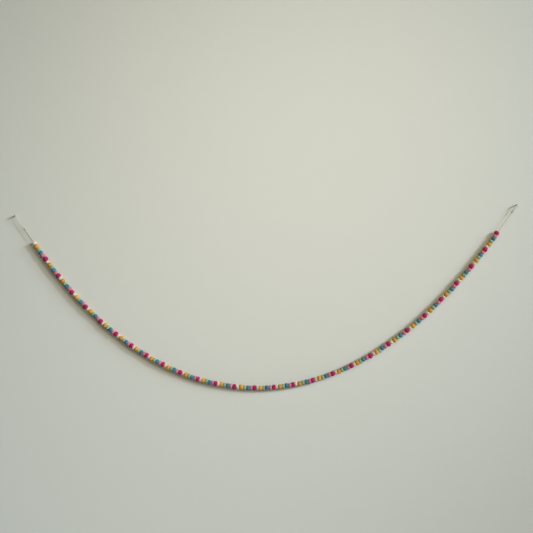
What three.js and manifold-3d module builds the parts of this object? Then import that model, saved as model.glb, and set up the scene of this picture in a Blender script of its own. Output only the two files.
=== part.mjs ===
// A garland of wool felt balls, pressed together on one cord and hung in a deep curve between two wall pins.
// Millimetres. +Z is up, +X is to the right, and the wall is the plane Y = 0, with the garland in front of it
// at negative Y. The origin is on the wall, midway between the two pins.
import * as THREE from 'three';
import { mergeVertices } from 'three/addons/utils/BufferGeometryUtils.js';
import Module from 'manifold-3d';

const wasm = await Module();
wasm.setup();

// The hang. The balls lie along a catenary of height HANG * (cosh(x / HANG) - 1), turned a little in the wall's
// plane because the garland hangs lopsided, and a straight length of cord runs on from each end to its pin.
const HANG = 595;
const LEAN = THREE.MathUtils.degToRad(2.45); // lowers the right end
const LEFT_OF_LOW = 806; // length of balls to the left of the lowest point
const STANDOFF = 9; // from the wall to the middle of the cord
const CLEARANCE = 0.3; // between two pieces that touch

// One repeat of the balls, from the left: length along the cord as pressed, and diameter across it.
const REPEATS = 28;
const BALLS = [
  { felt: 'cream', long: 7.4, wide: 13.6, color: 0xd8d0b4 },
  { felt: 'mustard', long: 12.7, wide: 15.2, color: 0xcf9636 },
  { felt: 'mint', long: 8.5, wide: 14.4, color: 0x9fc0a6 },
  { felt: 'blue', long: 11.1, wide: 14.2, color: 0x3f7287 },
  { felt: 'pink', long: 9.3, wide: 14.2, color: 0xc98490 },
  { felt: 'magenta', long: 12.4, wide: 15.4, color: 0xa82858 },
];

// How unlike each other the balls are. Their length drifts slowly along the garland, and each ball differs.
const DRIFT = 0.093; // share of the length
const DRIFT_REPEATS = 26; // repeats from one long stretch to the next
const DRIFT_LOW = 9.65; // the repeat with the shortest balls
const LONG_VARIES = 0.14;
const WIDE_VARIES = 0.03;
const SIDE_SHIFT = 0.9; // how far a ball sits off the cord's line, in the wall's plane
const DEPTH_SHIFT = 0.5; // and towards or away from the wall
const FIRST_DRAW = 16005; // where the balls start in the row of uneven numbers
const LEAST_CONTACT = 0.4; // the pressed face's radius, as a share of the ball's
const LAST_SQUASHED = 0.78; // the last ball's length, as a share of what it would be

// The solids.
const SIDES = 8;
const RING_PLACES = [-0.62, 0, 0.62]; // a ball's rings between its two faces, in half lengths
const BALLS_PER_SOLID = 3;
const CORD = { radius: 0.7, sides: 8, bore: 1.15 };
const PIN = { shank: 1.8, head: 3, headBack: 11.3, rim: 12.2, domeRadius: 2, long: 12.7, sides: 12 };

// The cord's two ends: the whole length from the last ball to the pin's middle, the part that is the loop, and
// how far the cord turns from the line of the balls, clockwise. At the left the cord's tail lies back along it.
const ENDS = [
  { name: 'left', long: 97, loop: 49, turn: THREE.MathUtils.degToRad(-1.3), tail: true },
  { name: 'right', long: 98, loop: 26, turn: 0, tail: false },
];
const LOOP_RADIUS = PIN.shank + CLEARANCE + CORD.radius;
const LOOP_STEPS = 10; // round the pin
const STRAND_APART = CORD.radius + CLEARANCE / 2; // each strand from the middle, at the knot
const KNOT = { radius: 2.3, long: 6.4, rings: 6, sides: 10 };

// ---- The balls' sizes and places along the cord ----

// A number from -1 to 1 that looks random and is always the same for the same ball and kind.
function uneven(ball, kind) {
  const spread = Math.sin((ball + FIRST_DRAW) * 12.9898 + kind * 78.233) * 43758.5453;
  return 2 * (spread - Math.floor(spread)) - 1;
}

// Every ball in order, with s the length of garland from the lowest point to its middle.
function strungBalls() {
  const balls = [];
  let start = -LEFT_OF_LOW;
  for (let i = 0; i < REPEATS * BALLS.length; i += 1) {
    const repeat = Math.floor(i / BALLS.length);
    const kind = BALLS[i % BALLS.length];
    const drift = 1 - DRIFT * Math.cos((2 * Math.PI * (repeat - DRIFT_LOW)) / DRIFT_REPEATS);
    const squashed = i === REPEATS * BALLS.length - 1 ? LAST_SQUASHED : 1;
    const long = kind.long * squashed * drift * (1 + LONG_VARIES * uneven(i, 1));
    const radius = (kind.wide / 2) * (1 + WIDE_VARIES * uneven(i, 2));
    const face = Math.sqrt(Math.max(radius ** 2 - (long / 2) ** 2, (LEAST_CONTACT * radius) ** 2));
    const side = SIDE_SHIFT * uneven(i, 3);
    const depth = DEPTH_SHIFT * uneven(i, 4);
    balls.push({ felt: kind.felt, color: kind.color, long, radius, face, side, depth, s: start + long / 2 });
    start += long;
  }
  return balls;
}

const balls = strungBalls();
const faceBefore = (i) => balls[i].s - balls[i].long / 2;
const faceAfter = (i) => balls[i].s + balls[i].long / 2;

// The radius of the pressed face that ball i shares with the next one.
function sharedFace(i) {
  const here = balls[Math.max(i, 0)];
  const next = balls[Math.min(i + 1, balls.length - 1)];
  return (here.face + next.face) / 2;
}

// ---- The hanging line ----

// The line's direction at a length s of garland from the lowest point, in the wall's plane.
function alongAt(s) {
  const along = new THREE.Vector3(HANG, 0, s).normalize();
  return along.applyAxisAngle(new THREE.Vector3(0, 1, 0), LEAN);
}

// The point there, measured from the lowest point.
function hangAt(s) {
  const point = new THREE.Vector3(HANG * Math.asinh(s / HANG), 0, Math.hypot(HANG, s) - HANG);
  return point.applyAxisAngle(new THREE.Vector3(0, 1, 0), LEAN);
}

// Each end of the cord leaves the last ball straight on, and stops at its pin.
const endFaces = [faceBefore(0), faceAfter(balls.length - 1)];
const outward = [alongAt(endFaces[0]).negate(), alongAt(endFaces[1])];
outward.forEach((out, k) => out.applyAxisAngle(new THREE.Vector3(0, 1, 0), ENDS[k].turn));
const pinFromLow = ENDS.map((end, k) => hangAt(endFaces[k]).addScaledVector(outward[k], end.long));
const origin = pinFromLow[0].clone().add(pinFromLow[1]).multiplyScalar(0.5);
origin.y = STANDOFF;

const pointAt = (s) => hangAt(s).sub(origin);
const pinPlaces = pinFromLow.map((place) => place.clone().sub(origin));
const acrossAt = (s) => new THREE.Vector3(0, 1, 0).cross(alongAt(s)).negate();

// Where one repeat meets the next the cord has a step, and between two steps it is straight.
const stepLengths = [];
for (let repeat = 0; repeat <= REPEATS; repeat += 1) {
  const first = repeat * BALLS.length;
  stepLengths.push(first < balls.length ? faceBefore(first) : endFaces[1]);
}
const stepPoints = stepLengths.map(pointAt);

function cordAt(s) {
  const after = Math.max(1, stepLengths.findIndex((length) => length >= s - 1e-6));
  const part = (s - stepLengths[after - 1]) / (stepLengths[after] - stepLengths[after - 1]);
  return stepPoints[after - 1].clone().lerp(stepPoints[after], part);
}

// How far the balls sit off the line at s, from one ball's middle to the next one's.
function shiftAt(s) {
  const next = balls.findIndex((ball) => ball.s >= s);
  if (next === 0) return balls[0];
  if (next < 0) return balls[balls.length - 1];
  const [a, b] = [balls[next - 1], balls[next]];
  const part = (s - a.s) / (b.s - a.s);
  return {
    side: THREE.MathUtils.lerp(a.side, b.side, part),
    depth: THREE.MathUtils.lerp(a.depth, b.depth, part),
  };
}

// ---- A solid of a few balls pressed together, with the bore that the cord runs through ----

function ballSolid(first, count) {
  const last = first + count - 1;
  const start = faceBefore(first) + CLEARANCE / 2;
  const end = faceAfter(last) - CLEARANCE / 2;
  const profile = [new THREE.Vector2(CORD.bore, start), new THREE.Vector2(sharedFace(first - 1), start)];
  for (let i = first; i <= last; i += 1) {
    const ball = balls[i];
    for (const place of RING_PLACES) {
      const face = place < 0 ? sharedFace(i - 1) : sharedFace(i);
      const radius = Math.sqrt(ball.radius ** 2 - (ball.radius ** 2 - face ** 2) * place ** 2);
      profile.push(new THREE.Vector2(radius, ball.s + (place * ball.long) / 2));
    }
    profile.push(new THREE.Vector2(sharedFace(i), i < last ? faceAfter(i) : end));
  }
  profile.push(new THREE.Vector2(CORD.bore, end), new THREE.Vector2(CORD.bore, start));
  const geometry = new THREE.LatheGeometry(profile, SIDES);
  return bent(geometry);
}

// Bends a straight solid, turned about its own Y, along the hanging line. Its bore follows the cord.
function bent(geometry) {
  const position = geometry.attributes.position;
  const towardsWall = new THREE.Vector3(0, 1, 0);
  for (let i = 0; i < position.count; i += 1) {
    const local = new THREE.Vector3().fromBufferAttribute(position, i);
    const s = local.y;
    const inBore = Math.hypot(local.x, local.z) < CORD.bore + 0.01;
    const shift = inBore ? { side: 0, depth: 0 } : shiftAt(s);
    const point = inBore ? cordAt(s) : pointAt(s);
    point.addScaledVector(acrossAt(s), local.x + shift.side);
    point.addScaledVector(towardsWall, local.z + shift.depth);
    position.setXYZ(i, point.x, point.y, point.z);
  }
  geometry.computeVertexNormals();
  return geometry;
}

// ---- The cord, with a loop knotted at each end ----

// A route through given points, with one step of the tube at each of them.
class Route extends THREE.Curve {
  constructor(points) {
    super();
    this.points = points;
  }

  getPoint(t, target = new THREE.Vector3()) {
    const place = THREE.MathUtils.clamp(t, 0, 1) * (this.points.length - 1);
    const before = Math.min(Math.floor(place), this.points.length - 2);
    return target.lerpVectors(this.points[before], this.points[before + 1], place - before);
  }

  getPointAt(u, target) {
    return this.getPoint(u, target);
  }

  getTangentAt(u, target) {
    return this.getTangent(u, target);
  }
}

function tube(points) {
  const section = [];
  for (let i = 0; i < CORD.sides; i += 1) {
    const angle = (2 * Math.PI * i) / CORD.sides;
    section.push(new THREE.Vector2(CORD.radius * Math.cos(angle), CORD.radius * Math.sin(angle)));
  }
  const options = { steps: points.length - 1, extrudePath: new Route(points), bevelEnabled: false };
  return new THREE.ExtrudeGeometry(new THREE.Shape(section), options);
}

// The loop's points at one end, from the knot round the pin and back, in the plane of the cord.
function loopPoints(k) {
  const side = outward[k].clone().cross(new THREE.Vector3(0, 1, 0));
  const place = (out, over) => pinPlaces[k].clone().addScaledVector(outward[k], out).addScaledVector(side, over);
  const points = [place(-ENDS[k].loop, -STRAND_APART)];
  for (let i = 0; i <= LOOP_STEPS; i += 1) {
    const angle = Math.PI * (i / LOOP_STEPS - 0.5);
    points.push(place(LOOP_RADIUS * Math.cos(angle), LOOP_RADIUS * Math.sin(angle)));
  }
  points.push(place(-ENDS[k].loop, STRAND_APART));
  return points;
}

// The tail, from the knot back beside the cord until just before the first ball.
function tailPoints(k) {
  const side = outward[k].clone().cross(new THREE.Vector3(0, 1, 0));
  const end = pointAt(endFaces[k]).addScaledVector(outward[k], 2 * CLEARANCE);
  return [knotMiddle(k), end].map((point) => point.addScaledVector(side, 2 * STRAND_APART));
}

function knotMiddle(k) {
  return pinPlaces[k].clone().addScaledVector(outward[k], -ENDS[k].loop);
}

// The knot at one end: a small rounded lump, longest along the cord.
function knotSolid(k) {
  const geometry = new THREE.SphereGeometry(KNOT.radius, KNOT.sides, KNOT.rings);
  geometry.scale(1, KNOT.long / 2 / KNOT.radius, 1);
  geometry.applyQuaternion(new THREE.Quaternion().setFromUnitVectors(new THREE.Vector3(0, 1, 0), outward[k]));
  const middle = knotMiddle(k);
  return geometry.translate(middle.x, middle.y, middle.z);
}

function solidOf(geometry) {
  const bare = geometry.clone();
  bare.deleteAttribute('normal');
  bare.deleteAttribute('uv');
  const merged = mergeVertices(bare, 1e-4);
  const mesh = { numProp: 3, vertProperties: merged.attributes.position.array };
  mesh.triVerts = Uint32Array.from(merged.index.array);
  return new wasm.Manifold(new wasm.Mesh(mesh));
}

function joined(geometries) {
  const [first, ...rest] = geometries.map(solidOf);
  const mesh = rest.reduce((whole, piece) => whole.add(piece), first).getMesh();
  const geometry = new THREE.BufferGeometry();
  geometry.setAttribute('position', new THREE.BufferAttribute(mesh.vertProperties, 3));
  geometry.setIndex(new THREE.BufferAttribute(mesh.triVerts, 1));
  geometry.computeVertexNormals();
  return geometry;
}

function cordSolid() {
  const pieces = [tube([knotMiddle(0), ...stepPoints, knotMiddle(1)])];
  ENDS.forEach((end, k) => {
    pieces.push(tube(loopPoints(k)), knotSolid(k));
    if (end.tail) pieces.push(tube(tailPoints(k)));
  });
  return joined(pieces);
}

// ---- The pins ----

function pinSolid() {
  const profile = [
    new THREE.Vector2(0, 0),
    new THREE.Vector2(PIN.shank, 0),
    new THREE.Vector2(PIN.shank, PIN.headBack),
    new THREE.Vector2(PIN.head, PIN.headBack),
    new THREE.Vector2(PIN.head, PIN.rim),
    new THREE.Vector2(PIN.domeRadius, PIN.long),
    new THREE.Vector2(0, PIN.long),
  ];
  return new THREE.LatheGeometry(profile, PIN.sides);
}

// ---- The garland ----

const garland = new THREE.Group();
garland.name = 'felt_ball_garland';

function add(name, geometry, color, roughness, metalness) {
  const material = new THREE.MeshStandardMaterial({ color, roughness, metalness });
  const mesh = new THREE.Mesh(geometry, material);
  mesh.name = name;
  garland.add(mesh);
  return mesh;
}

for (let first = 0; first < balls.length; first += BALLS_PER_SOLID) {
  const number = String(first / BALLS_PER_SOLID + 1).padStart(2, '0');
  const widest = balls.slice(first, first + BALLS_PER_SOLID).reduce((a, b) => (b.long > a.long ? b : a));
  add(`balls_${number}`, ballSolid(first, BALLS_PER_SOLID), widest.color, 0.95, 0);
}

add('cord', cordSolid(), 0x9c8761, 0.9, 0);

ENDS.forEach((end, k) => {
  const pin = add(`pin_${end.name}`, pinSolid(), 0x9e9985, 0.45, 0.8);
  pin.rotation.x = Math.PI;
  pin.position.set(pinPlaces[k].x, 0, pinPlaces[k].z);
});

export default garland;
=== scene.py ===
"""A garland of small wool felt balls, strung on one cord and hung in a deep curve between two wall pins.

Metres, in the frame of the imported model: +Z is up, +X is to the right, the wall is the plane Y = 0, and the
garland hangs in front of it at negative Y. The origin is on the wall, midway between the two pins.
"""

import math

import bpy
from mathutils import Matrix, Vector


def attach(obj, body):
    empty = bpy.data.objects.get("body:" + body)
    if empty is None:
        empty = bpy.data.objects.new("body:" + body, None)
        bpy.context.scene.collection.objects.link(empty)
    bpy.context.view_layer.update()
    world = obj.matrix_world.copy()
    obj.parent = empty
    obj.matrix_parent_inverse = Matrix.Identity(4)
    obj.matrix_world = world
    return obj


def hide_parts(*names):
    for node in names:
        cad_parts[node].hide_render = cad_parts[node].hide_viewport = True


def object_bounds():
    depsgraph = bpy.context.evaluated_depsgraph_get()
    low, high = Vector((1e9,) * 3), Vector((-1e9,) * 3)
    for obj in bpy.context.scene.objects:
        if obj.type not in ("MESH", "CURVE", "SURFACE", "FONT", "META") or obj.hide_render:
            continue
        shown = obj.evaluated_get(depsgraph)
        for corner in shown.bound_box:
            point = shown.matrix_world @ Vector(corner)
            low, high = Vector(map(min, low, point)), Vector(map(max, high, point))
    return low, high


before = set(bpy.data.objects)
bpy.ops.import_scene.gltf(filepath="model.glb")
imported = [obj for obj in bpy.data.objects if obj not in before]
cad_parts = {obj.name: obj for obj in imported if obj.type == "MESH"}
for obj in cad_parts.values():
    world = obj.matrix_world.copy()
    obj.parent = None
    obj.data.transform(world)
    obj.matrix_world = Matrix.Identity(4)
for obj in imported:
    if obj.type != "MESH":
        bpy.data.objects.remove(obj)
cad_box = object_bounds()
bpy.ops.object.select_all(action="DESELECT")


# ---- The cord ----
# One thin three-ply jute twine runs through the needle hole of every ball. Each of its ends leaves the last
# ball, goes round its wall pin in a loop, and comes back to a knot. It lies along a catenary of height
# HANG * (cosh(x / HANG) - 1), turned a little in the wall's plane, as long as the balls are together.

HANG = 0.595
LEAN = math.radians(2.45)
LEFT_OF_LOW = 0.806
STANDOFF = 0.009
REPEATS = 28

# One repeat of the balls from the left: length along the cord as pressed, and diameter across it.
BALL_SIZES = [
    ("cream", 0.0074, 0.0136),
    ("mustard", 0.0127, 0.0152),
    ("mint", 0.0085, 0.0144),
    ("blue", 0.0111, 0.0142),
    ("pink", 0.0093, 0.0142),
    ("magenta", 0.0124, 0.0154),
]

# The balls' length drifts slowly along the garland, and each ball differs from the next.
DRIFT = 0.093
DRIFT_REPEATS = 26
DRIFT_LOW = 9.65
LONG_VARIES = 0.14
WIDE_VARIES = 0.03
SIDE_SHIFT = 0.0009
DEPTH_SHIFT = 0.0005
FIRST_DRAW = 16005
LEAST_CONTACT = 0.4
LAST_SQUASHED = 0.78


def uneven(ball, kind):
    """A number from -1 to 1 that is always the same for one ball and one kind of unevenness."""
    spread = math.sin((ball + FIRST_DRAW) * 12.9898 + kind * 78.233) * 43758.5453
    return 2 * (spread - math.floor(spread)) - 1


def strung_balls():
    """Every ball in order, with s the length of garland from the lowest point to its middle."""
    strung = []
    start = -LEFT_OF_LOW
    for i in range(REPEATS * len(BALL_SIZES)):
        repeat = i // len(BALL_SIZES)
        felt, long, wide = BALL_SIZES[i % len(BALL_SIZES)]
        drift = 1 - DRIFT * math.cos(2 * math.pi * (repeat - DRIFT_LOW) / DRIFT_REPEATS)
        long *= drift * (1 + LONG_VARIES * uneven(i, 1))
        if i == REPEATS * len(BALL_SIZES) - 1:
            long *= LAST_SQUASHED
        radius = wide / 2 * (1 + WIDE_VARIES * uneven(i, 2))
        strung.append(
            {
                "felt": felt,
                "number": i,
                "long": long,
                "radius": radius,
                "face": math.sqrt(max(radius**2 - (long / 2) ** 2, (LEAST_CONTACT * radius) ** 2)),
                "side": SIDE_SHIFT * uneven(i, 3),
                "depth": DEPTH_SHIFT * uneven(i, 4),
                "s": start + long / 2,
            }
        )
        start += long
    return strung


def along_at(s):
    """The garland's direction, a length s of it from the lowest point."""
    return Matrix.Rotation(LEAN, 3, "Y") @ Vector((HANG, 0, s)).normalized()


def hang_at(s):
    """The point there, measured from the lowest point."""
    upright = Vector((HANG * math.asinh(s / HANG), 0, math.hypot(HANG, s) - HANG))
    return Matrix.Rotation(LEAN, 3, "Y") @ upright


TOWARDS_WALL = Vector((0, 1, 0))
CORD_RADIUS = 0.0007
PIN_SHANK = 0.0018
CLEARANCE = 0.0003
ENDS = [
    {"name": "left", "long": 0.097, "loop": 0.049, "turn": math.radians(-1.3)},
    {"name": "right", "long": 0.098, "loop": 0.026, "turn": 0},
]
LOOP_RADIUS = PIN_SHANK + CLEARANCE + CORD_RADIUS
STRAND_APART = CORD_RADIUS + CLEARANCE / 2

balls = strung_balls()
end_faces = [balls[0]["s"] - balls[0]["long"] / 2, balls[-1]["s"] + balls[-1]["long"] / 2]
outward = [-along_at(end_faces[0]), along_at(end_faces[1])]
outward = [Matrix.Rotation(ENDS[k]["turn"], 3, "Y") @ outward[k] for k in range(2)]
pin_from_low = [hang_at(end_faces[k]) + outward[k] * ENDS[k]["long"] for k in range(2)]
origin = (pin_from_low[0] + pin_from_low[1]) / 2
origin.y = STANDOFF
pin_places = [place - origin for place in pin_from_low]
knot_places = [pin_places[k] - outward[k] * ENDS[k]["loop"] for k in range(2)]


def point_at(s):
    """The garland's middle line in the model's frame."""
    return hang_at(s) - origin


def across_at(s):
    """Square to the garland in the wall's plane, upwards at the lowest point."""
    return along_at(s).cross(TOWARDS_WALL)


PLY_TURN = 0.0048  # the twine's plies turn once round in this length
PLIES = 3
PLY_GROOVE = 0.14  # how far the outline dips between two plies, as a share of the radius
SEEN_STEP = 0.0005  # between the points of the route, where the twine shows
HIDDEN_STEP = 0.012  # and where it is inside the balls
LOOP_STEPS = 16


def straight(start, end, step):
    """Points from start towards end, without the end itself."""
    count = max(1, round((end - start).length / step))
    return [start.lerp(end, i / count) for i in range(count)]


def loop_route(k):
    """From the knot round the pin and back to the knot, in the plane of the cord."""
    side = outward[k].cross(TOWARDS_WALL)
    turn = [math.pi * (i / LOOP_STEPS - 0.5) for i in range(LOOP_STEPS + 1)]
    arc = [pin_places[k] + LOOP_RADIUS * (outward[k] * math.cos(a) + side * math.sin(a)) for a in turn]
    first = knot_places[k] - side * STRAND_APART
    last = knot_places[k] + side * STRAND_APART
    return straight(first, arc[0], SEEN_STEP) + arc[:-1] + straight(arc[-1], last, SEEN_STEP) + [last]


# From the knot one strand runs straight to the last ball. At the left the cord's tail is laid back beside it,
# from the knot to the ball, which it just touches.
UNDER_KNOT = 0.003
TAIL_STOPS = 0.0006
under_knot = [knot_places[k] - outward[k] * UNDER_KNOT for k in range(2)]
mouths = [point_at(s) for s in end_faces]
beside = outward[0].cross(TOWARDS_WALL) * (2 * STRAND_APART)
tail_end = mouths[0] + outward[0] * TAIL_STOPS + beside
hidden_count = round((end_faces[1] - end_faces[0]) / HIDDEN_STEP)
hidden = [
    point_at(end_faces[0] + (end_faces[1] - end_faces[0]) * i / hidden_count) for i in range(hidden_count + 1)
]
route = (
    straight(tail_end, under_knot[0] + beside, SEEN_STEP)
    + [under_knot[0] + beside]
    + loop_route(0)[::-1]
    + straight(under_knot[0], mouths[0], SEEN_STEP)
    + hidden
    + straight(mouths[1], under_knot[1], SEEN_STEP)[1:]
    + [under_knot[1]]
    + loop_route(1)[::-1]
)


def ply_outline():
    """The outline of the plies laid together, as a closed curve that a cord is swept from."""
    curve = bpy.data.curves.new("ply_outline", "CURVE")
    count = 5 * PLIES
    spline = curve.splines.new("POLY")
    spline.points.add(count - 1)
    for i, point in enumerate(spline.points):
        angle = 2 * math.pi * i / count
        reach = CORD_RADIUS * (1 - PLY_GROOVE + PLY_GROOVE * math.cos(PLIES * angle))
        point.co = (reach * math.cos(angle), reach * math.sin(angle), 0, 1)
    spline.use_cyclic_u = True
    outline = bpy.data.objects.new("ply_outline", curve)
    bpy.context.scene.collection.objects.link(outline)
    return outline


def twine(name, points, outline):
    """A twisted cord along the points, swept from the outline and made a mesh with closed ends."""
    curve = bpy.data.curves.new(name, "CURVE")
    curve.dimensions = "3D"
    curve.twist_mode = "MINIMUM"
    curve.bevel_mode = "OBJECT"
    curve.bevel_object = outline
    curve.use_fill_caps = True
    spline = curve.splines.new("POLY")
    spline.points.add(len(points) - 1)
    tilt = 0
    for i, point in enumerate(points):
        step = (point - points[i - 1]).length if i else 0
        if step < HIDDEN_STEP / 2:
            tilt += 2 * math.pi * step / PLY_TURN
        spline.points[i].co = (*point, 1)
        spline.points[i].tilt = tilt
    made = bpy.data.objects.new(name, curve)
    bpy.context.scene.collection.objects.link(made)
    bpy.context.view_layer.objects.active = made
    made.select_set(True)
    bpy.ops.object.convert(target="MESH")
    bpy.ops.object.mode_set(mode="EDIT")
    bpy.ops.mesh.select_all(action="SELECT")
    bpy.ops.mesh.remove_doubles(threshold=1e-6)
    bpy.ops.mesh.normals_make_consistent(inside=False)
    bpy.ops.object.mode_set(mode="OBJECT")
    bpy.ops.object.shade_smooth()
    made.select_set(False)
    return made


def jute_twine():
    """Natural jute: an olive brown, paler where it has faded, with uneven yarn and a fine hairy grain."""
    made = bpy.data.materials.new("jute_twine")
    made.use_nodes = True
    nodes, links = made.node_tree.nodes, made.node_tree.links
    shader = nodes["Principled BSDF"]
    place = nodes.new("ShaderNodeTexCoord")
    yarn = nodes.new("ShaderNodeTexNoise")
    yarn.inputs["Scale"].default_value = 900
    yarn.inputs["Detail"].default_value = 5
    links.new(place.outputs["Object"], yarn.inputs["Vector"])
    either = nodes.new("ShaderNodeMix")
    either.data_type = "RGBA"
    faded = nodes.new("ShaderNodeAttribute")
    faded.attribute_name = "faded"
    links.new(faded.outputs["Fac"], either.inputs[0])
    jute = ((0.24, 0.17, 0.065), (0.5, 0.4, 0.19))
    pale_jute = ((0.5, 0.44, 0.31), (0.74, 0.69, 0.55))
    for socket, (dark, pale) in ((6, jute), (7, pale_jute)):
        shades = nodes.new("ShaderNodeValToRGB")
        shades.color_ramp.elements[0].position = 0.3
        shades.color_ramp.elements[0].color = (*dark, 1)
        shades.color_ramp.elements[1].position = 0.7
        shades.color_ramp.elements[1].color = (*pale, 1)
        links.new(yarn.outputs["Fac"], shades.inputs["Fac"])
        links.new(shades.outputs["Color"], either.inputs[socket])
    links.new(either.outputs[2], shader.inputs["Base Color"])
    grain = nodes.new("ShaderNodeTexNoise")
    grain.inputs["Scale"].default_value = 5000
    grain.inputs["Detail"].default_value = 3
    links.new(place.outputs["Object"], grain.inputs["Vector"])
    bump = nodes.new("ShaderNodeBump")
    bump.inputs["Strength"].default_value = 0.6
    bump.inputs["Distance"].default_value = 0.0001
    links.new(grain.outputs["Fac"], bump.inputs["Height"])
    links.new(bump.outputs["Normal"], shader.inputs["Normal"])
    shader.inputs["Roughness"].default_value = 0.9
    shader.inputs["Sheen Weight"].default_value = 0.3
    return made


# A knot's turns wind round the two strands of the loop and tuck in at both ends.
KNOT_TURNS = 3
KNOT_COIL = 0.0015  # from the middle to the winding strand's middle
KNOT_PITCH = 0.00145
KNOT_STEPS = 28  # in a turn
KNOT_TUCKED = 0.35  # how near the middle its ends are tucked, as a share of the coil


def knot_route(k):
    """The winding strand of a knot, from one tucked end to the other."""
    side = outward[k].cross(TOWARDS_WALL)
    count = KNOT_TURNS * KNOT_STEPS
    points = []
    for i in range(count + 1):
        turn = 2 * math.pi * i / KNOT_STEPS
        tucked = min(1, i / (KNOT_STEPS / 3), (count - i) / (KNOT_STEPS / 3))
        coil = KNOT_COIL * (KNOT_TUCKED + (1 - KNOT_TUCKED) * tucked)
        out = outward[k] * (KNOT_PITCH * KNOT_TURNS * (i / count - 0.5))
        points.append(knot_places[k] + out + coil * (side * math.cos(turn) + TOWARDS_WALL * math.sin(turn)))
    return points


outline = ply_outline()
jute = jute_twine()
cord = twine("garland_cord", route, outline)
knots = [twine("knot_" + ENDS[k]["name"], knot_route(k), outline) for k in range(2)]
bpy.data.objects.remove(outline)

# The loop at the left has faded, from the knot on.
FADES_OVER = 0.004
faded = cord.data.attributes.new("faded", "FLOAT", "POINT")
from_knot = [(vertex.co - knot_places[0]).dot(outward[0]) for vertex in cord.data.vertices]
faded.data.foreach_set("value", [max(0, min(1, reach / FADES_OVER)) for reach in from_knot])
for piece in [cord] + knots:
    piece.data.materials.append(jute)
    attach(piece, "root")
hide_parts("cord")


# ---- The felt balls ----
# Each ball is wet-felted wool, matt and a little hairy, rolled by hand so no two are alike. They are soft,
# so each is pressed flat where it meets its neighbours, and the pale ones are squashed shorter. The balls of
# one colour are one piece.

BALL_GAP = 0.00005  # from a ball's pressed face to the plane that it shares with the next ball
RIM = 0.0004  # the rounding where a pressed face meets the round side
LUMP = 0.00045  # how far the surface is lumpy, in all
LUMP_SIZE = 0.0045
DIMPLE = 0.00016
DIMPLE_SIZE = 0.0014
WISPS = 340000  # loose fibre ends on a square metre of felt
WISP_LONG = 0.0012
WISP_THICK = 0.00005
WISP_JOINTS = 3
WISP_BEND = 0.00022
WISP_TAPER = 0.72
FREE_FROM = 0.0003  # the lumps and the fibre begin this far inside a pressed face
FREE_OVER = 0.0012  # and have their full strength after this length more
OFF_WALL = 0.0001

WOOLS = {
    "cream": (0.6, 0.555, 0.41),
    "mustard": (0.6, 0.3, 0.044),
    "mint": (0.235, 0.385, 0.275),
    "blue": (0.073, 0.174, 0.25),
    "pink": (0.53, 0.185, 0.24),
    "magenta": (0.385, 0.0125, 0.098),
}


def wool_felt(felt):
    """Felted wool: fibres of three shades matted together, dull, with a soft bloom at grazing angles."""
    wool = WOOLS[felt]
    dark = [0.62 * share for share in wool]
    pale = [1.3 * share + 0.01 for share in wool]
    made = bpy.data.materials.new("felt_" + felt)
    made.use_nodes = True
    nodes, links = made.node_tree.nodes, made.node_tree.links
    shader = nodes["Principled BSDF"]
    place = nodes.new("ShaderNodeTexCoord")

    # The shades of wool lie in soft patches, with single darker and paler fibres over them.
    patches = nodes.new("ShaderNodeTexNoise")
    patches.inputs["Scale"].default_value = 260
    patches.inputs["Detail"].default_value = 4
    patches.inputs["Roughness"].default_value = 0.65
    links.new(place.outputs["Object"], patches.inputs["Vector"])
    shades = nodes.new("ShaderNodeValToRGB")
    shades.color_ramp.elements[0].position = 0.28
    shades.color_ramp.elements[0].color = (*dark, 1)
    shades.color_ramp.elements[1].position = 0.75
    shades.color_ramp.elements[1].color = (*pale, 1)
    middle = shades.color_ramp.elements.new(0.5)
    middle.color = (*wool, 1)
    links.new(patches.outputs["Fac"], shades.inputs["Fac"])

    fibres = nodes.new("ShaderNodeTexNoise")
    fibres.inputs["Scale"].default_value = 1500
    fibres.inputs["Detail"].default_value = 3
    fibres.inputs["Distortion"].default_value = 2.5
    links.new(place.outputs["Object"], fibres.inputs["Vector"])
    fibre_shades = nodes.new("ShaderNodeMapRange")
    fibre_shades.inputs["From Min"].default_value = 0.35
    fibre_shades.inputs["From Max"].default_value = 0.65
    fibre_shades.inputs["To Min"].default_value = 0.82
    fibre_shades.inputs["To Max"].default_value = 1.16
    links.new(fibres.outputs["Fac"], fibre_shades.inputs["Value"])

    # Each ball is a little paler or darker than the next one of its colour.
    ball_shade = nodes.new("ShaderNodeAttribute")
    ball_shade.attribute_name = "shade"
    both = nodes.new("ShaderNodeMath")
    both.operation = "MULTIPLY"
    links.new(ball_shade.outputs["Fac"], both.inputs[0])
    links.new(fibre_shades.outputs["Result"], both.inputs[1])
    tinted = nodes.new("ShaderNodeVectorMath")
    tinted.operation = "SCALE"
    links.new(shades.outputs["Color"], tinted.inputs[0])
    links.new(both.outputs["Value"], tinted.inputs["Scale"])
    links.new(tinted.outputs["Vector"], shader.inputs["Base Color"])

    # The matted surface: fine fibre relief over small felting creases.
    creases = nodes.new("ShaderNodeTexNoise")
    creases.inputs["Scale"].default_value = 620
    creases.inputs["Detail"].default_value = 6
    creases.inputs["Roughness"].default_value = 0.7
    creases.inputs["Distortion"].default_value = 0.8
    links.new(place.outputs["Object"], creases.inputs["Vector"])
    relief = nodes.new("ShaderNodeMath")
    relief.operation = "ADD"
    links.new(creases.outputs["Fac"], relief.inputs[0])
    links.new(fibres.outputs["Fac"], relief.inputs[1])
    bump = nodes.new("ShaderNodeBump")
    bump.inputs["Strength"].default_value = 0.75
    bump.inputs["Distance"].default_value = 0.00025
    links.new(relief.outputs["Value"], bump.inputs["Height"])
    links.new(bump.outputs["Normal"], shader.inputs["Normal"])
    shader.inputs["Roughness"].default_value = 0.95
    shader.inputs["Specular IOR Level"].default_value = 0.2
    shader.inputs["Sheen Weight"].default_value = 0.1
    shader.inputs["Sheen Roughness"].default_value = 0.6
    return made


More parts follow.
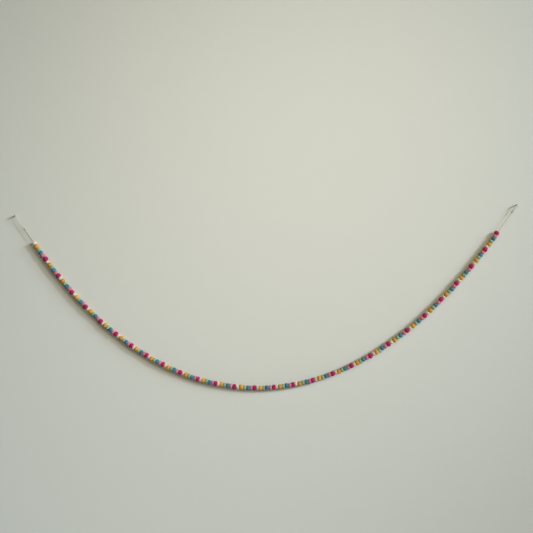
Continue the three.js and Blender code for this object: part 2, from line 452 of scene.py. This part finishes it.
def round_ball():
    """The ball that every other is copied from, one metre in radius."""
    bpy.ops.mesh.primitive_ico_sphere_add(subdivisions=4, radius=1)
    made = bpy.context.object
    made.name = "round_ball"
    return made


def cut_flat(point, outside):
    """Cuts the active ball at a plane, closes the cut and rounds its rim."""
    bpy.ops.object.mode_set(mode="EDIT")
    bpy.ops.mesh.select_all(action="SELECT")
    bpy.ops.mesh.bisect(plane_co=point, plane_no=outside, use_fill=True, clear_outer=True, threshold=1e-6)
    # Leaving edit mode in between keeps the faces in the same order each run, so that the fibres keep
    # their places.
    bpy.ops.object.mode_set(mode="OBJECT")
    bpy.ops.object.mode_set(mode="EDIT")
    bpy.ops.mesh.bevel(offset=RIM, segments=2, affect="EDGES", clamp_overlap=True)
    bpy.ops.object.mode_set(mode="OBJECT")


def pressed_ball(model, ball):
    """One ball, scaled and turned to its place on the cord and cut flat at both of its faces."""
    made = model.copy()
    made.data = model.data.copy()
    made.name = "ball"
    bpy.context.scene.collection.objects.link(made)
    s, radius, half = ball["s"], ball["radius"], ball["long"] / 2
    reach = half / math.sqrt(1 - (ball["face"] / radius) ** 2)
    along, across = along_at(s), across_at(s)
    turned = Matrix((across, TOWARDS_WALL, along)).transposed()
    roll = Matrix.Rotation(math.pi * uneven(ball["number"], 5), 3, "Z")
    tumble = Matrix.Rotation(math.pi * uneven(ball["number"], 6), 3, "X")
    sized = Matrix.Diagonal((radius, radius, reach))
    middle = point_at(s) + across * ball["side"] + TOWARDS_WALL * ball["depth"]
    made.data.transform(Matrix.Translation(middle) @ (turned @ sized @ roll @ tumble).to_4x4())
    bpy.context.view_layer.objects.active = made
    made.select_set(True)
    for side in (-1, 1):
        face = s + side * half
        outside = along_at(face) * side
        cut_flat(point_at(face) - outside * BALL_GAP, outside)
    made.select_set(False)
    count = len(made.data.vertices)
    shade = made.data.attributes.new("shade", "FLOAT", "POINT")
    shade.data.foreach_set("value", [1 + 0.09 * uneven(ball["number"], 7)] * count)
    free = made.vertex_groups.new(name="free")
    for vertex in made.data.vertices:
        inside = half - abs((vertex.co - point_at(s)).dot(along))
        free.add([vertex.index], max(0, min(1, (inside - FREE_FROM) / FREE_OVER)), "REPLACE")
    return made


def lumpy(piece, size, strength, texture_name):
    """Pushes the free surface in and out by a soft cloud pattern, as felting leaves it."""
    clouds = bpy.data.textures.new(texture_name, "CLOUDS")
    clouds.noise_scale = size
    clouds.noise_depth = 2
    modifier = piece.modifiers.new(texture_name, "DISPLACE")
    modifier.texture = clouds
    modifier.texture_coords = "GLOBAL"
    modifier.vertex_group = "free"
    modifier.strength = strength
    modifier.mid_level = 0.5
    bpy.context.view_layer.objects.active = piece
    bpy.ops.object.modifier_apply(modifier=modifier.name)


def wool_wisp():
    """One loose fibre end: a thin curved taper, grown from a triangle by extruding and turning it."""
    bpy.ops.mesh.primitive_circle_add(vertices=3, radius=WISP_THICK, fill_type="NGON")
    made = bpy.context.object
    made.name = "wool_wisp"
    bpy.ops.object.mode_set(mode="EDIT")
    bpy.ops.mesh.select_all(action="SELECT")
    for step in range(WISP_JOINTS):
        rise = WISP_LONG / WISP_JOINTS
        bend = WISP_BEND * (step + 1) ** 1.6
        bpy.ops.mesh.extrude_region_move(TRANSFORM_OT_translate={"value": (bend, 0, rise)})
        bpy.ops.transform.resize(value=(WISP_TAPER, WISP_TAPER, 1))
    bpy.ops.object.mode_set(mode="OBJECT")
    made.select_set(False)
    return made


def wisp_nodes(wisp, wool, seed):
    """Geometry nodes that stand a leaning wisp on many places of the free surface and keep the ball."""
    tree = bpy.data.node_groups.new("wisps", "GeometryNodeTree")
    tree.interface.new_socket("Geometry", in_out="INPUT", socket_type="NodeSocketGeometry")
    tree.interface.new_socket("Geometry", in_out="OUTPUT", socket_type="NodeSocketGeometry")
    nodes, links = tree.nodes, tree.links
    given = nodes.new("NodeGroupInput")
    result = nodes.new("NodeGroupOutput")
    free = nodes.new("GeometryNodeInputNamedAttribute")
    free.data_type = "FLOAT"
    free.inputs["Name"].default_value = "free"
    thickly = nodes.new("ShaderNodeMath")
    thickly.operation = "MULTIPLY"
    thickly.inputs[1].default_value = WISPS
    links.new(free.outputs["Attribute"], thickly.inputs[0])
    spots = nodes.new("GeometryNodeDistributePointsOnFaces")
    spots.distribute_method = "RANDOM"
    spots.inputs["Seed"].default_value = seed
    links.new(given.outputs["Geometry"], spots.inputs["Mesh"])
    links.new(thickly.outputs["Value"], spots.inputs["Density"])
    lean = nodes.new("FunctionNodeRandomValue")
    lean.data_type = "FLOAT_VECTOR"
    lean.inputs["Min"].default_value = (-1.25, -1.25, -3.1)
    lean.inputs["Max"].default_value = (1.25, 1.25, 3.1)
    lean.inputs["Seed"].default_value = seed + 1
    turned = nodes.new("FunctionNodeRotateRotation")
    turned.rotation_space = "LOCAL"
    links.new(spots.outputs["Rotation"], turned.inputs["Rotation"])
    links.new(lean.outputs["Value"], turned.inputs["Rotate By"])
    sizes = nodes.new("FunctionNodeRandomValue")
    sizes.data_type = "FLOAT"
    sizes.inputs[2].default_value = 0.45
    sizes.inputs[3].default_value = 1.15
    sizes.inputs["Seed"].default_value = seed + 2
    source = nodes.new("GeometryNodeObjectInfo")
    source.inputs["Object"].default_value = wisp
    placed = nodes.new("GeometryNodeInstanceOnPoints")
    links.new(spots.outputs["Points"], placed.inputs["Points"])
    links.new(source.outputs["Geometry"], placed.inputs["Instance"])
    links.new(turned.outputs["Rotation"], placed.inputs["Rotation"])
    links.new(sizes.outputs[1], placed.inputs["Scale"])
    real = nodes.new("GeometryNodeRealizeInstances")
    links.new(placed.outputs["Instances"], real.inputs["Geometry"])
    coloured = nodes.new("GeometryNodeSetMaterial")
    coloured.inputs["Material"].default_value = wool
    links.new(real.outputs["Geometry"], coloured.inputs["Geometry"])
    whole = nodes.new("GeometryNodeJoinGeometry")
    links.new(given.outputs["Geometry"], whole.inputs["Geometry"])
    links.new(coloured.outputs["Geometry"], whole.inputs["Geometry"])
    links.new(whole.outputs["Geometry"], result.inputs["Geometry"])
    return tree


def felt_balls(model, wisp, felt, seed):
    """All the balls of one felt, joined, with their lumps, creases and loose fibres."""
    made = [pressed_ball(model, ball) for ball in balls if ball["felt"] == felt]
    for piece in made:
        piece.select_set(True)
    bpy.context.view_layer.objects.active = made[0]
    bpy.ops.object.join()
    piece = bpy.context.object
    piece.name = "felt_balls_" + felt
    piece.data.name = piece.name
    bpy.ops.object.shade_smooth_by_angle(angle=math.radians(60))
    lumpy(piece, LUMP_SIZE, 2 * LUMP, "lumps_" + felt)
    lumpy(piece, DIMPLE_SIZE, 2 * DIMPLE, "dimples_" + felt)
    wool = wool_felt(felt)
    piece.data.materials.append(wool)
    modifier = piece.modifiers.new("wisps", "NODES")
    modifier.node_group = wisp_nodes(wisp, wool, seed)
    bpy.ops.object.modifier_apply(modifier=modifier.name)
    # A fibre that would reach the wall lies flat against it.
    for vertex in piece.data.vertices:
        vertex.co.y = min(vertex.co.y, -OFF_WALL)
    piece.select_set(False)
    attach(piece, "root")
    return piece


ball_model = round_ball()
ball_model.select_set(False)
wisp_model = wool_wisp()
solids = sorted(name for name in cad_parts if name.startswith("balls_"))
for kind, (felt, _, _) in enumerate(BALL_SIZES):
    piece = felt_balls(ball_model, wisp_model, felt, 10 * kind)
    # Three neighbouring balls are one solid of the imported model: the first three felts, then the last three.
    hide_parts(*solids[kind // 3 :: 2])
bpy.data.objects.remove(ball_model)
bpy.data.objects.remove(wisp_model)


# ---- The wall pins ----
# Each is a small steel pin, zinc-plated and gone dull: a round shank driven into the wall and a wider, domed
# head that keeps the loop from slipping off. It is turned from one bar.

PIN_HEAD = 0.003
PIN_HEAD_BACK = 0.0113
PIN_LONG = 0.0127
PIN_DOME = 0.0005
PIN_ROUNDING = 0.00012


def dull_zinc():
    """Zinc plating gone dull: a pale yellowish grey, in small matt and shinier patches."""
    made = bpy.data.materials.new("dull_zinc")
    made.use_nodes = True
    nodes, links = made.node_tree.nodes, made.node_tree.links
    shader = nodes["Principled BSDF"]
    place = nodes.new("ShaderNodeTexCoord")
    wear = nodes.new("ShaderNodeTexNoise")
    wear.inputs["Scale"].default_value = 700
    wear.inputs["Detail"].default_value = 6
    links.new(place.outputs["Object"], wear.inputs["Vector"])
    dullness = nodes.new("ShaderNodeMapRange")
    dullness.inputs["To Min"].default_value = 0.4
    dullness.inputs["To Max"].default_value = 0.65
    links.new(wear.outputs["Fac"], dullness.inputs["Value"])
    links.new(dullness.outputs["Result"], shader.inputs["Roughness"])
    shades = nodes.new("ShaderNodeValToRGB")
    shades.color_ramp.elements[0].color = (0.40, 0.38, 0.29, 1)
    shades.color_ramp.elements[1].color = (0.66, 0.63, 0.52, 1)
    links.new(wear.outputs["Fac"], shades.inputs["Fac"])
    links.new(shades.outputs["Color"], shader.inputs["Base Color"])
    shader.inputs["Metallic"].default_value = 0.35
    return made


def wall_pin(k):
    """A cylinder from the wall, with its front face widened into the head, thickened and domed."""
    place = pin_places[k]
    bpy.ops.mesh.primitive_cylinder_add(
        vertices=40,
        radius=PIN_SHANK,
        depth=PIN_HEAD_BACK,
        location=(place.x, -PIN_HEAD_BACK / 2, place.z),
        rotation=(math.pi / 2, 0, 0),
    )
    made = bpy.context.object
    made.name = "wall_pin_" + ENDS[k]["name"]
    bpy.ops.object.transform_apply(location=True, rotation=True, scale=True)
    bpy.ops.object.mode_set(mode="EDIT")
    bpy.ops.mesh.select_mode(type="FACE")
    bpy.ops.mesh.select_all(action="DESELECT")
    bpy.ops.object.mode_set(mode="OBJECT")
    for face in made.data.polygons:
        face.select = face.normal.y < -0.9
    bpy.ops.object.mode_set(mode="EDIT")
    middle = (place.x, -PIN_HEAD_BACK, place.z)
    bpy.ops.mesh.extrude_region_move(TRANSFORM_OT_translate={"value": (0, 0, 0)})
    wider = PIN_HEAD / PIN_SHANK
    bpy.ops.transform.resize(value=(wider, 1, wider), center_override=middle)
    thick = PIN_LONG - PIN_HEAD_BACK - PIN_DOME
    bpy.ops.mesh.extrude_region_move(TRANSFORM_OT_translate={"value": (0, -thick, 0)})
    for share, rise in ((0.78, 0.55), (0.6, 0.28), (0.35, 0.17)):
        bpy.ops.mesh.extrude_region_move(TRANSFORM_OT_translate={"value": (0, -PIN_DOME * rise, 0)})
        bpy.ops.transform.resize(value=(share, 1, share), center_override=middle)
    bpy.ops.mesh.select_all(action="SELECT")
    bpy.ops.mesh.normals_make_consistent(inside=False)
    bpy.ops.object.mode_set(mode="OBJECT")
    bevel = made.modifiers.new("edges", "BEVEL")
    bevel.width = PIN_ROUNDING
    bevel.segments = 2
    bevel.limit_method = "ANGLE"
    bpy.ops.object.modifier_apply(modifier=bevel.name)
    bpy.ops.object.shade_smooth_by_angle(angle=math.radians(50))
    made.select_set(False)
    return made


zinc = dull_zinc()
for k in range(2):
    pin = wall_pin(k)
    pin.data.materials.append(zinc)
    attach(pin, "root")
    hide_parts("pin_" + ENDS[k]["name"])


# ---- The wall and the floor ----
# A plain painted wall behind the garland and a pale floor below it. They aren't part of the object. The wall
# is seen from the room only, so from behind it doesn't hide the garland or keep the light off its back.

FLOOR_BELOW = 0.5
WALL_WIDE = 7
WALL_TALL = 4
BEHIND_PINS = 0.0004


def plain_paint(name, color, seen_from_front_only):
    """Flat wall or floor paint of one colour, clear from behind if that is asked for."""
    made = bpy.data.materials.new(name)
    made.use_nodes = True
    nodes, links = made.node_tree.nodes, made.node_tree.links
    shader = nodes["Principled BSDF"]
    shader.inputs["Base Color"].default_value = (*color, 1)
    shader.inputs["Roughness"].default_value = 0.9
    shader.inputs["Specular IOR Level"].default_value = 0.2
    if seen_from_front_only:
        clear = nodes.new("ShaderNodeBsdfTransparent")
        side = nodes.new("ShaderNodeNewGeometry")
        either = nodes.new("ShaderNodeMixShader")
        links.new(side.outputs["Backfacing"], either.inputs[0])
        links.new(shader.outputs["BSDF"], either.inputs[1])
        links.new(clear.outputs["BSDF"], either.inputs[2])
        links.new(either.outputs["Shader"], nodes["Material Output"].inputs["Surface"])
    return made


floor_height = cad_box[0][2] - FLOOR_BELOW
wall_middle = (0, BEHIND_PINS, floor_height + WALL_TALL / 2)
bpy.ops.mesh.primitive_plane_add(size=1, location=wall_middle, rotation=(math.pi / 2, 0, 0))
wall = bpy.context.object
wall.name = "wall"
wall.scale = (WALL_WIDE, WALL_TALL, 1)
wall.data.materials.append(plain_paint("wall_paint", (0.69, 0.71, 0.665), True))
wall.visible_shadow = False
bpy.ops.mesh.primitive_plane_add(size=WALL_WIDE, location=(0, -WALL_WIDE / 2, floor_height))
floor = bpy.context.object
floor.name = "floor"
floor.data.materials.append(plain_paint("floor_paint", (0.62, 0.61, 0.58), False))


# ---- Light and camera ----
# Daylight from three windows along the room on the right, each one grazing the wall more than the last, and
# the warm light of the room in front and above. A weak soft light from behind the wall shows the garland's
# back. The camera looks straight at the wall.

LIT_AROUND = Vector((-0.17, 0, -0.17))


def soft_light(name, round_from_x, off_normal, away, size, spread, energy, color):
    """A square softbox aimed at the garland, at angles from +X towards +Z and from the wall's normal."""
    data = bpy.data.lights.new(name, "AREA")
    data.shape = "SQUARE"
    data.size = size
    data.energy = energy
    data.color = color
    data.spread = math.radians(spread)
    light = bpy.data.objects.new(name, data)
    bpy.context.scene.collection.objects.link(light)
    turn, tilt = math.radians(round_from_x), math.radians(off_normal)
    towards = Vector((math.sin(tilt) * math.cos(turn), -math.cos(tilt), math.sin(tilt) * math.sin(turn)))
    light.location = LIT_AROUND + away * towards
    light.rotation_euler = (-towards).to_track_quat("-Z", "Y").to_euler()
    return light


DAYLIGHT = (0.82, 0.91, 1.0)
soft_light("near_window", 25, 46, 14, 2.8, 19, 6.7, DAYLIGHT)
soft_light("middle_window", 23, 62, 14, 1.4, 19, 13.7, DAYLIGHT)
soft_light("far_window", 22, 73, 14, 2.6, 20, 12, DAYLIGHT)
soft_light("room", 60, 26, 1.5, 0.95, 180, 8.6, (1.0, 0.82, 0.53))
soft_light("from_behind", 90, 165, 2.6, 1.5, 60, 1.6, DAYLIGHT)

world = bpy.data.worlds.new("room")
bpy.context.scene.world = world
world.use_nodes = True
world.node_tree.nodes["Background"].inputs["Color"].default_value = (1.0, 0.92, 0.67, 1)
world.node_tree.nodes["Background"].inputs["Strength"].default_value = 0.06

CAMERA_AWAY = 2.6
VIEW_WIDE = 1.599
camera_data = bpy.data.cameras.new("camera")
camera_data.sensor_width = 36
camera_data.lens = camera_data.sensor_width * CAMERA_AWAY / VIEW_WIDE
camera = bpy.data.objects.new("camera", camera_data)
bpy.context.scene.collection.objects.link(camera)
camera.location = (0.0019, -CAMERA_AWAY, -0.1678)
camera.rotation_euler = (math.pi / 2, 0, 0)
bpy.context.scene.camera = camera
bpy.context.scene.view_settings.view_transform = "Standard"
